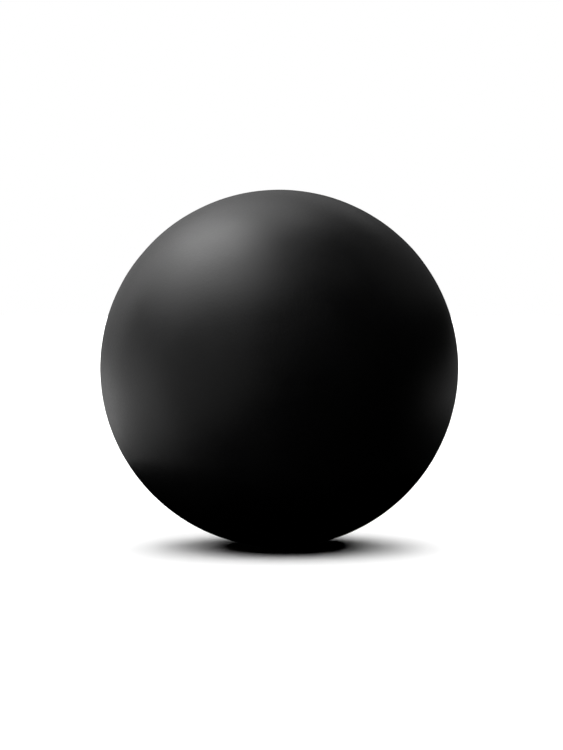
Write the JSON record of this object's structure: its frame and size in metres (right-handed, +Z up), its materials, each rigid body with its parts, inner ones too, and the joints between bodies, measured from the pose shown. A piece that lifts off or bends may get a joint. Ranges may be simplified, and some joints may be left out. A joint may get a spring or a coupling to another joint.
{
  "type": "lacrosse ball",
  "caption": "Solid ball of black moulded rubber with a fine trimmed parting line round its middle, thrown, caught and carried in the netted pocket of a stick.",
  "frame": {"origin": "the centre of the ball", "axes": "+Z up; +Y along the axis on which the mould opened, so the parting line lies in the XZ plane; the picture looks along +Y"},
  "size_m": [0.0637, 0.0636, 0.0636],
  "materials": {
    "rubber": "satin"
  },
  "bodies": {
    "root": {"ball": "rubber"}
  },
  "joints": []
}
